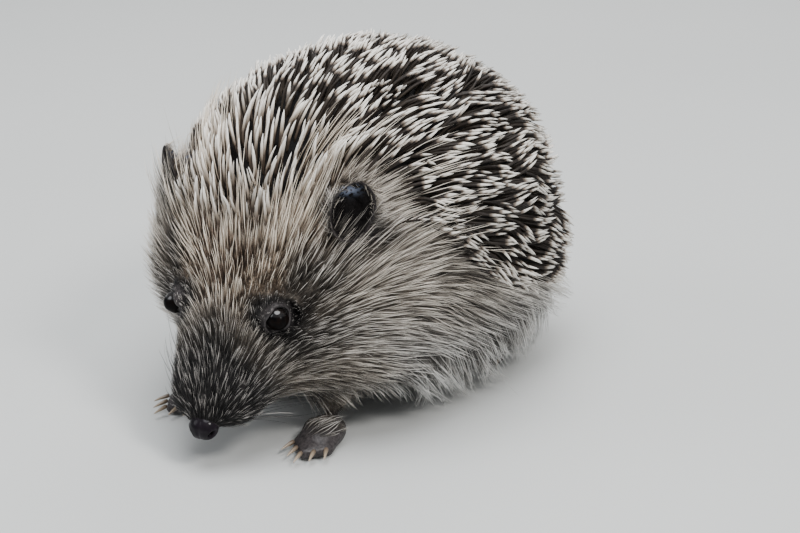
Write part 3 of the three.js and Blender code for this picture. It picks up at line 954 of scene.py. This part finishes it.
def furShares(points):
    # which piece of fur each place belongs to
    forward, left, up = toHead(points).T
    zones = coatZones(points)
    eye, ear = nearestEye(points), nearestEar(points)
    bowl = np.full(len(points), 9.0)
    for name in sides:
        rear, high, out = inEar(points, name).T
        ring = np.hypot(rear / earPlan["half"][0], high / earPlan["half"][1])
        bowl = np.where((ear < 12) & ((out > -3.5) | (high < 3)), np.minimum(bowl, ring), bowl)
    bare = (eye < 3.7) | (bowl < 1.05) | (forward > 65.9) | (points[:, 2] < 5)
    hem = (zones["spiny"] > 0.02) & (zones["spiny"] < 0.99)
    flap = (bowl > 0.84) & (bowl < 1.45)
    grown = (zones["spiny"] < 0.7) & ~bare
    face = zones["onFace"] > 0.5
    muzzle = face & (forward > 40)
    forehead = face & ~muzzle & (up > -9) & (np.abs(left) < 24 + 0.2 * up)
    low = points[:, 2] < 27
    return {
        "muzzleFur": grown & muzzle,
        "foreheadHair": grown & forehead,
        "cheekFur": grown & face & ~muzzle & ~forehead,
        "flankFur": grown & ~face & ~low,
        "fringe": grown & ~face & low,
        "whiskers": (forward > 49) & (forward < 62) & (up > -22) & (up < -12) & (np.abs(left) > 5),
        "earHair": flap,
        "guardHair": ~bare & (hem | ((ear < 24) & (zones["spiny"] > 0.3))),
    }


def growFur(kind, sideName=""):
    plan, side = furPlans[kind], sides.get(sideName)

    def density(points, facing):
        there = furShares(points)[kind]
        under = 1 - 0.7 * ramp(-facing[:, 2], 0.6, 0.9)
        before = ramp(toHead(points)[:, 0] - leftEarForward, 0, 5)
        below = 1 - ramp(points[:, 2] - leftEar[2], 0, 5)
        under = under * (1 - 0.7 * (1 - ramp(distanceFrom(points, leftEar), 13, 20)) * before * below)
        under = under * (1 + 1.2 * (1 - ramp(nearestEye(points), 4.5, 7)))
        return plan["count"] * there * under * (points[:, 0] * side >= 0 if side else 1)

    roots, normals = scatter(density)
    lengths = furLength(roots)
    lay = layOfCoat(roots, normals, 1.0 if kind == "fringe" else 0.0)
    if kind == "earHair":
        lengths = 4.5 + 3.0 * random.random(len(roots))
        outward = unit(sum(
            (roots - centre) * (distanceFrom(roots, centre) < 14)[:, None] for centre in (leftEar, rightEar)))
        inward = np.where(random.random(len(roots)) < 0.25, -0.7, 0.6)
        lay = unit(inward[:, None] * outward + 0.8 * lay)
        lengths = lengths * np.where(inward < 0, 0.5, 1)
    if "length" in plan:
        lengths = random.uniform(*plan["length"], len(roots))
    if kind == "guardHair":
        lengths = lengths * (0.35 + 0.65 * ramp(nearestLimb(roots), 8, 16))  # short on the tail and legs
    lengths = lengths * random.uniform(0.6, 1.05, len(roots))
    return growStrands(kind + sideName.capitalize(), plan, roots, normals, lengths, lay)


fur = [growFur(kind) for kind in ("muzzleFur", "earHair", "guardHair", "whiskers")]
for kind in ("foreheadHair", "cheekFur", "flankFur", "fringe"):
    fur += [growFur(kind, sideName) for sideName in sides]


# Materials.

def link(value, target):
    target.id_data.links.new(value, target)


def addNode(tree, kind, place, **settings):
    node = tree.nodes.new(kind)
    node.location = place
    for key, value in settings.items():
        setattr(node, key, value)
    return node


def addRamp(tree, place, value, stops):
    # stops are (position, colour) pairs
    node = addNode(tree, "ShaderNodeValToRGB", place)
    elements = node.color_ramp.elements
    while len(elements) < len(stops):
        elements.new(0.5)
    for element, (position, colour) in zip(elements, stops):
        element.position = position
        element.color = (*colour, 1)
    link(value, node.inputs["Fac"])
    return node.outputs["Color"]


def addAttribute(tree, place, name):
    return addNode(tree, "ShaderNodeAttribute", place, attribute_name=name).outputs["Fac"]


def addRange(tree, place, value, source, target):
    node = addNode(tree, "ShaderNodeMapRange", place, interpolation_type="SMOOTHSTEP")
    link(value, node.inputs["Value"])
    for key, number in zip(("From Min", "From Max", "To Min", "To Max"), (*source, *target)):
        node.inputs[key].default_value = number
    return node.outputs["Result"]


def addTexture(tree, kind, place, **values):
    coordinates = addNode(tree, "ShaderNodeTexCoord", (place[0] - 200, place[1]))
    node = addNode(tree, kind, place)
    for key, value in values.items():
        node.inputs[key].default_value = value
    link(coordinates.outputs["Object"], node.inputs["Vector"])
    return node


def addNoise(tree, place, scale, detail=2.0):
    return addTexture(tree, "ShaderNodeTexNoise", place, Scale=scale, Detail=detail).outputs["Fac"]


def addMaths(tree, place, operation, first, second):
    node = addNode(tree, "ShaderNodeMath", place, operation=operation)
    link(first, node.inputs[0])
    link(second, node.inputs[1])
    return node.outputs["Value"]


def addBump(tree, place, height, strength, distance):
    bump = addNode(tree, "ShaderNodeBump", place)
    bump.inputs["Strength"].default_value = strength
    bump.inputs["Distance"].default_value = distance
    link(height, bump.inputs["Height"])
    return bump.outputs["Normal"]


def addScale(tree, place, colour, factor):
    node = addNode(tree, "ShaderNodeVectorMath", place, operation="SCALE")
    link(colour, node.inputs[0])
    link(factor, node.inputs["Scale"])
    return node.outputs["Vector"]


def addMix(tree, place, factor, first, second):
    node = addNode(tree, "ShaderNodeMix", place, data_type="RGBA")
    for name, value in (("Factor", factor), ("A", first), ("B", second)):
        if isinstance(value, tuple):
            node.inputs[name].default_value = (*value, 1)
        else:
            link(value, node.inputs[name])
    return node.outputs["Result"]


def newMaterial(name, place=(600, 0), **values):
    # a material with one Principled shader and that shader's plain values
    material = bpy.data.materials.new(name)
    material.use_nodes = True
    tree = material.node_tree
    tree.nodes.clear()
    shader = addNode(tree, "ShaderNodeBsdfPrincipled", place)
    for key, value in values.items():
        shader.inputs[key].default_value = value
    output = addNode(tree, "ShaderNodeOutputMaterial", (place[0] + 300, place[1]))
    link(shader.outputs["BSDF"], output.inputs["Surface"])
    return material, tree, shader


# from root to tip: the dark roots are partly the hairs' own colour and partly painted shade deep in the coat
furColours = {
    "Buff": [
        (0.0, (0.05, 0.041, 0.034)), (0.35, (0.135, 0.112, 0.09)), (0.6, (0.37, 0.32, 0.265)),
        (1.0, (0.69, 0.63, 0.55)),
    ],
    "Straw": [
        (0.0, (0.034, 0.025, 0.019)), (0.35, (0.085, 0.062, 0.045)), (0.6, (0.45, 0.355, 0.265)),
        (1.0, (0.86, 0.765, 0.64)),
    ],
    "Rust": [
        (0.0, (0.025, 0.018, 0.014)), (0.45, (0.10, 0.06, 0.038)), (0.7, (0.36, 0.23, 0.15)),
        (1.0, (0.58, 0.45, 0.33)),
    ],
    "Pale": [
        (0.0, (0.07, 0.063, 0.058)), (0.35, (0.19, 0.177, 0.162)), (0.65, (0.44, 0.415, 0.39)),
        (1.0, (0.70, 0.69, 0.67)),
    ],
    "Black": [(0.0, (0.007, 0.0065, 0.0065)), (1.0, (0.022, 0.020, 0.020))],
    "Grizzle": [(0.0, (0.010, 0.009, 0.009)), (0.5, (0.04, 0.036, 0.035)), (1.0, (0.62, 0.58, 0.54))],
}


def makeMarkings():
    # the colours of the coat from root to tip, shared by the fur and the skin under it
    group = bpy.data.node_groups.new("coatMarkings", "ShaderNodeTree")
    for name in ("Along", "Shade", "Mask", "Straw", "Pale"):
        group.interface.new_socket(name, in_out="INPUT", socket_type="NodeSocketFloat")
    group.interface.new_socket("Colour", in_out="OUTPUT", socket_type="NodeSocketColor")
    given = addNode(group, "NodeGroupInput", (-900, 0)).outputs
    result = addNode(group, "NodeGroupOutput", (1100, 0))
    # the upper strands are pale along more of their length
    sooner = addRange(group, (-900, 600), given["Shade"], (0, 1), (-0.25, 0.45))
    along = addMaths(group, (-750, 400), "ADD", given["Along"], sooner)
    ramps = {
        name: addRamp(group, (-600, 400 - 260 * i), along, stops)
        for i, (name, stops) in enumerate(furColours.items())}
    grizzled = addRange(group, (-600, -900), given["Shade"], (0.5, 0.85), (0, 1))
    mask = addMix(group, (-200, -500), grizzled, ramps["Black"], ramps["Grizzle"])
    rusty = addRange(group, (-600, -1100), given["Shade"], (0.45, 0.2), (0, 1))
    straw = addMix(group, (-320, 400), rusty, ramps["Straw"], ramps["Rust"])
    colour = addMix(group, (-100, 200), given["Straw"], ramps["Buff"], straw)
    colour = addMix(group, (160, 100), given["Pale"], colour, ramps["Pale"])
    colour = addMix(group, (420, 0), given["Mask"], colour, mask)
    level = addRange(group, (420, -300), given["Shade"], (0, 1), (0.45, 1.25))
    link(addScale(group, (760, 0), colour, level), result.inputs["Colour"])
    return group


markings = makeMarkings()


def addMarkings(tree, place, names):
    # the group, with these of its inputs read from the piece's own values
    node = addNode(tree, "ShaderNodeGroup", place, node_tree=markings)
    for i, name in enumerate(names):
        link(addAttribute(tree, (place[0] - 300, place[1] + 200 - 180 * i), name.lower()), node.inputs[name])
    return node


def makeFurMaterial():
    material, tree, shader = newMaterial("softFur", Roughness=0.55)
    colours = addMarkings(tree, (-600, 0), ("Along", "Shade", "Mask", "Straw", "Pale"))
    link(colours.outputs["Colour"], shader.inputs["Base Color"])
    return material


spineColours = [
    (0.0, (0.10, 0.08, 0.06)),
    (0.2, (0.05, 0.04, 0.032)),
    (0.665, (0.022, 0.017, 0.015)),
    (0.735, (0.24, 0.193, 0.157)),
    (0.79, (0.75, 0.70, 0.63)),
    (1.0, (0.94, 0.91, 0.86)),
]
crownColours = [
    (0.0, (0.08, 0.058, 0.043)),
    (0.42, (0.135, 0.102, 0.08)),
    (0.58, (0.44, 0.37, 0.30)),
    (0.75, (0.76, 0.70, 0.625)),
    (1.0, (0.92, 0.885, 0.835)),
]


def makeSpineMaterial():
    material, tree, shader = newMaterial("bandedSpine", **{"Roughness": 0.45, "Specular IOR Level": 0.2})
    along = addAttribute(tree, (-900, 0), "along")
    shade = addAttribute(tree, (-900, -300), "shade")
    # the dark band ends a little higher or lower from spine to spine
    shift = addRange(tree, (-650, -300), shade, (0, 1.3), (-0.06, 0.06))
    along = addMaths(tree, (-420, 0), "ADD", along, shift)
    banding = addRamp(tree, (-220, 0), along, spineColours)
    crown = addRamp(tree, (-220, 300), along, crownColours)
    straw = addRange(tree, (-220, 600), addAttribute(tree, (-500, 600), "straw"), (0, 1), (0, 0.85))
    banded = addMix(tree, (60, 200), straw, banding, crown)
    level = addRange(tree, (-220, -300), shade, (0.1, 0.9), (0.55, 1.12))
    link(addScale(tree, (300, 0), banded, level), shader.inputs["Base Color"])
    return material


furMaterial = makeFurMaterial()
spineMaterial = makeSpineMaterial()
for piece in spines:
    settle(piece, spineMaterial)
for piece in fur:
    settle(piece, furMaterial)


def markSkin():
    points = readPoints(skin)
    zones = coatZones(points)
    forward = toHead(points)[:, 0]
    eye, ear = nearestEye(points), nearestEar(points)
    bare = np.maximum(1 - ramp(eye, 4.2, 5.5), 1 - ramp(ear, 8.5, 10.5))
    bare = np.maximum(bare, ramp(forward, 65.2, 66.4))
    bare = np.maximum(bare, 1 - ramp(points[:, 2], 6, 8.5))
    wet = np.maximum(1 - ramp(eye, 3.4, 4.2), ramp(forward, 65.2, 66.5))
    # painted shade: the skin is darkened in each ear's hollow, over the inside of the ear flap and a little
    # round the eyes
    hollowShade = sum(hollowAt(points, name) for name in earPlaces) + 0.1 * (1 - ramp(eye, 5, 7.5))
    paintedSheen = np.zeros(len(points))
    for name in sides:
        rear, high, out = inEar(points, name).T
        inside = 1 - ramp(np.hypot(rear / earPlan["half"][0], high / earPlan["half"][1]), 0.7, 1.0)
        inside = inside * (out > -4)
        hollowShade = np.maximum(hollowShade, inside * (ear < 12))
        # painted reflection: a bluish sheen patch high inside each ear, which also lifts the painted shade
        # there
        sheenPatch = np.exp(-(((rear + 1.0) / 2.6) ** 2 + ((high - 5.6) / 1.6) ** 2)) * (out > -3)
        paintedSheen += sheenPatch * inside * (ear < 12)
    hollowShade = np.clip(hollowShade - paintedSheen, 0, 1)
    writeValues(skin.data, {
        # under the spines the skin takes the near-black mask colour, painted shade in the gaps between spines
        "mask": np.maximum(zones["mask"], zones["spiny"]),
        "straw": zones["straw"],
        "pale": zones["pale"],
        "bare": bare,
        "damp": np.clip(0.4 * bare + 0.5 * wet - hollowShade, 0, 1),
        "hollowShade": hollowShade,
        "paintedSheen": paintedSheen,
    })


def makeSkinMaterial():
    material, tree, shader = newMaterial(
        "coveredSkin", (900, 0), **{"Roughness": 0.6, "Specular IOR Level": 0.05, "Coat Roughness": 0.32})
    # the covered skin takes the dark root colours of the coat, painted shade in the gaps between hairs
    colours = addMarkings(tree, (-600, 300), ("Mask", "Straw", "Pale"))
    fine = addNoise(tree, (-900, -300), 1400, 4)
    link(addRange(tree, (-800, 0), fine, (0.3, 0.7), (0.05, 0.3)), colours.inputs["Along"])
    link(addNoise(tree, (-900, -600), 220), colours.inputs["Shade"])
    leather = addRamp(
        tree, (-300, -100), fine, [(0.3, (0.022, 0.019, 0.020)), (0.7, (0.078, 0.068, 0.068))])
    bare = addAttribute(tree, (-300, -400), "bare")
    mixed = addMix(tree, (100, 100), bare, colours.outputs["Colour"], leather)
    # painted shade: the colour is darkened where hollowShade is high
    hollowShade = addRange(tree, (100, 300), addAttribute(tree, (-300, 500), "hollowShade"), (0.05, 0.6), (1, 0.14))
    shaded = addScale(tree, (400, 200), mixed, hollowShade)
    # painted reflection: noise-broken spots of the painted sheen turn the colour bluish grey
    spots = addRange(tree, (0, 900), addNoise(tree, (-300, 1000), 900), (0.4, 0.55), (0, 1))
    paintedSheen = addMaths(tree, (300, 700), "MULTIPLY", addAttribute(tree, (-300, 700), "paintedSheen"), spots)
    link(addMix(tree, (600, 300), paintedSheen, shaded, (0.17, 0.20, 0.28)), shader.inputs["Base Color"])
    damp = addAttribute(tree, (-300, -600), "damp")
    link(addRange(tree, (100, -300), damp, (0, 1), (0, 0.9)), shader.inputs["Coat Weight"])
    link(addBump(tree, (400, -500), fine, 0.6, 0.0004), shader.inputs["Normal"])
    return material


markSkin()
skin.data.materials.clear()
settle(skin, makeSkinMaterial(), bodyNodes + legNodes + footNodes + earNodes + ["tail"])


# Eyes: polished near-black balls with a slightly raised front.
def makeEyes():
    material, tree, shader = newMaterial("blackEye", **{
        "Roughness": 0.3, "Specular IOR Level": 0.03, "Coat Roughness": 0.02, "Coat IOR": 1.6})
    # only the upper part has the film of tears
    upper = addAttribute(tree, (-300, -300), "upper")
    link(addRange(tree, (0, -300), upper, (0.42, 0.58), (0, 1)), shader.inputs["Coat Weight"])
    stops = [(0.35, (0.002, 0.002, 0.0025)), (0.8, (0.008, 0.005, 0.004))]
    link(addRamp(tree, (0, 0), addNoise(tree, (-300, 0), 500), stops), shader.inputs["Base Color"])
    for name, centre in eyeCentres.items():
        eye = addEgg((eyeRadius,) * 3, Matrix.Translation(Vector(centre)), 48, 32)
        eye.name = "eye" + name.capitalize()
        points = readPoints(eye)
        outward = unit(points - centre)
        raised = eyePlan["swell"] * ramp(outward @ lidFacing[name], 0.72, 1.0)
        writePoints(eye, points + raised[:, None] * outward)
        writeValues(eye.data, {"upper": outward[:, 2]})
        settle(eye, material, ["eye_" + name])


makeEyes()


# The nose pad: two rounded halves with a groove between them and a nostril at each side.
nosePlan = {
    "centre": (66.3, 0, -11.2),  # places and sizes are forward, left and up of the head
    "half": (3.7, 3.7, 3.3),
    "apart": (0.2, 0.5, 0),  # the middle of the left half, from the centre
    "groove": 0.16,
    "nostril": (2.2, 3.3, 0.4),
    "opening": (1.35, 1.5, 0.95),
    "rim": 0.22,  # height of the rim round the nostril
    "depth": 2.4,
    "mesh": 0.22,
}


def makeNose():
    centre = onHead(*nosePlan["centre"])
    halves = []
    for side in sides.values():
        offset = np.array(nosePlan["apart"]) * (1, side, 1) @ headAxes
        halves.append(addEgg(nosePlan["half"], turnedMatrix(centre + offset), 32, 20))
    nose = joinAll(halves, "nosePad")
    remesh(nose, nosePlan["mesh"])
    points = readPoints(nose)
    inHead = (points - centre) @ headAxes.T
    forward, left, _ = inHead.T
    normals = readPoints(nose, "normal")
    front = ramp(normals @ headForward, -0.1, 0.5)
    dent = nosePlan["groove"] * np.exp(-(left / 0.35) ** 2) * front
    for side in sides.values():
        hole = np.array(nosePlan["nostril"]) * (1, side, 1)
        slit = (inHead - hole) / nosePlan["opening"]
        dent = dent + nosePlan["depth"] * np.exp(-dot(slit, slit) * 1.6)
        edge = np.exp(-(np.linalg.norm(slit, axis=1) - 1.35) ** 2 / 0.12)
        dent = dent - nosePlan["rim"] * edge * (forward > 0)
    points = points - normals * dent[:, None]
    writePoints(nose, averageOver(readEdges(nose), points, 2, 0.4))
    writeValues(nose.data, {"hollowShade": np.clip(dent / nosePlan["depth"], 0, 1)})
    material, tree, shader = newMaterial(
        "wetNose", **{"Roughness": 0.4, "Specular IOR Level": 0.06, "Coat Roughness": 0.12})
    stops = [(0.35, (0.003, 0.002, 0.0035)), (0.7, (0.012, 0.008, 0.012))]
    tint = addRamp(tree, (0, 0), addNoise(tree, (-300, 0), 350, 3), stops)
    # painted shade: the colour darkens into the nostrils
    hollowShade = addAttribute(tree, (-300, 300), "hollowShade")
    level = addRange(tree, (0, 300), hollowShade, (0.1, 0.5), (1, 0.1))
    link(addScale(tree, (300, 100), tint, level), shader.inputs["Base Color"])
    link(addRange(tree, (0, 500), hollowShade, (0.05, 0.3), (0.22, 0)), shader.inputs["Coat Weight"])
    cells = addTexture(tree, "ShaderNodeTexVoronoi", (-300, -300), Scale=2600)
    link(addBump(tree, (300, -300), cells.outputs["Distance"], 0.5, 0.0001), shader.inputs["Normal"])
    settle(nose, material, ["nose"])


makeNose()


# Claws: slim horn, darker at the root.
def makeClaw(node):
    claw = mergedCopy(node)
    points = readPoints(claw)
    centre = points.mean(axis=0)
    tip = points[np.argmax(distanceFrom(points, centre))]
    root = points[np.argsort(-distanceFrom(points, tip))[:5]].mean(axis=0)
    applyModifier(claw, "SUBSURF", levels=2, render_levels=2)
    points = readPoints(claw)
    length = np.linalg.norm(tip - root)
    way = (tip - root) / length
    share = np.clip((points - root) @ way / length, 0, 1)
    writeValues(claw.data, {"along": share})
    writePoints(claw, points - way * 0.8 * (1 - share)[:, None])
    return claw


def makeClaws():
    material, tree, shader = newMaterial("horn", Roughness=0.32)
    stops = [(0.0, (0.10, 0.07, 0.05)), (0.5, (0.36, 0.28, 0.20)), (1.0, (0.55, 0.47, 0.37))]
    tint = addRamp(tree, (-200, 0), addAttribute(tree, (-500, 0), "along"), stops)
    link(tint, shader.inputs["Base Color"])
    grain = addNoise(tree, (-500, -300), 1800)
    link(addBump(tree, (200, -300), grain, 0.2, 0.0001), shader.inputs["Normal"])
    for end in ("front", "hind"):
        for sideName in sides:
            nodes = [f"{end}_claw_{sideName}_{i}" for i in range(1, 6)]
            claws = joinAll([makeClaw(node) for node in nodes], f"{end}Claws{sideName.capitalize()}")
            settle(claws, material, nodes)


makeClaws()
print("eyes, nose and claws made")

viewPlan = {
    "azimuth": 37.05,  # degrees round from straight ahead
    "elevation": 19.98,
    "distance": 558.83,
    "target": (0, 7.065, 50),
    "aimRight": 11.30,  # the camera looks past the target by these two
    "aimUp": -16.40,
    "lens": 85,
    "sensor": 36,
}


def placeCamera():
    azimuth, elevation = math.radians(viewPlan["azimuth"]), math.radians(viewPlan["elevation"])
    level = math.cos(elevation)
    back = Vector((math.sin(azimuth) * level, -math.cos(azimuth) * level, math.sin(elevation)))
    right = Vector((math.cos(azimuth), math.sin(azimuth), 0))
    up = back.cross(right)
    target = Vector(viewPlan["target"])
    camera = addObject("camera", bpy.data.cameras.new("camera"))
    camera.data.lens = viewPlan["lens"]
    camera.data.sensor_width = viewPlan["sensor"]
    camera.data.clip_start = 0.01
    camera.location = (target + back * viewPlan["distance"]) * mm
    aim = (target + right * viewPlan["aimRight"] + up * viewPlan["aimUp"]) * mm
    camera.rotation_mode = "QUATERNION"
    camera.rotation_quaternion = (camera.location - aim).to_track_quat("Z", "Y")
    bpy.context.scene.camera = camera


placeCamera()

# Round lamps that face the animal: name, place in metres, width, watts and colour.
lightPlan = [
    ("skyLight", (0.05, -0.1, 1.0), 0.8, 11.5, (0.96, 0.98, 1.0)),
    ("rightLight", (0.66, -0.16, 0.77), 0.24, 5.6, (1.0, 0.98, 0.95)),
    ("leftLight", (-0.6, -0.65, 0.6), 0.6, 2.6, (0.95, 0.97, 1.0)),
    ("rearLight", (-0.3, 0.75, 0.65), 0.6, 3.0, (1.0, 1.0, 1.0)),
]
worldPlan = {"Color": (0.86, 0.89, 0.92, 1), "Strength": 0.42}


def placeLights():
    for name, place, size, watts, colour in lightPlan:
        lamp = addObject(name, bpy.data.lights.new(name, "AREA"))
        lamp.data.shape = "DISK"
        lamp.data.size = size
        lamp.data.energy = watts
        lamp.data.color = colour
        lamp.location = place
        toward = Vector(place) - Vector((0, 0, 0.05))
        lamp.rotation_mode = "QUATERNION"
        lamp.rotation_quaternion = toward.to_track_quat("Z", "Y")
    world = bpy.data.worlds.new("softStudio")
    world.use_nodes = True
    for key, value in worldPlan.items():
        world.node_tree.nodes["Background"].inputs[key].default_value = value
    bpy.context.scene.world = world


placeLights()


def makeFloor():
    # a wide pale floor, far larger than what is seen of it
    bpy.ops.object.select_all(action="DESELECT")
    bpy.ops.mesh.primitive_circle_add(vertices=96, radius=4, fill_type="NGON", location=(0, 0, 0))
    floor = bpy.context.view_layer.objects.active
    floor.name = "floor"
    paint, tree, shader = newMaterial("floorPaint", Roughness=0.75)
    stops = [(0.3, (0.60, 0.61, 0.60)), (0.7, (0.64, 0.65, 0.64))]
    link(addRamp(tree, (-100, 0), addNoise(tree, (-400, 0), 3), stops), shader.inputs["Base Color"])
    floor.data.materials.append(paint)
    floor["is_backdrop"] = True


makeFloor()

low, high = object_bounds()
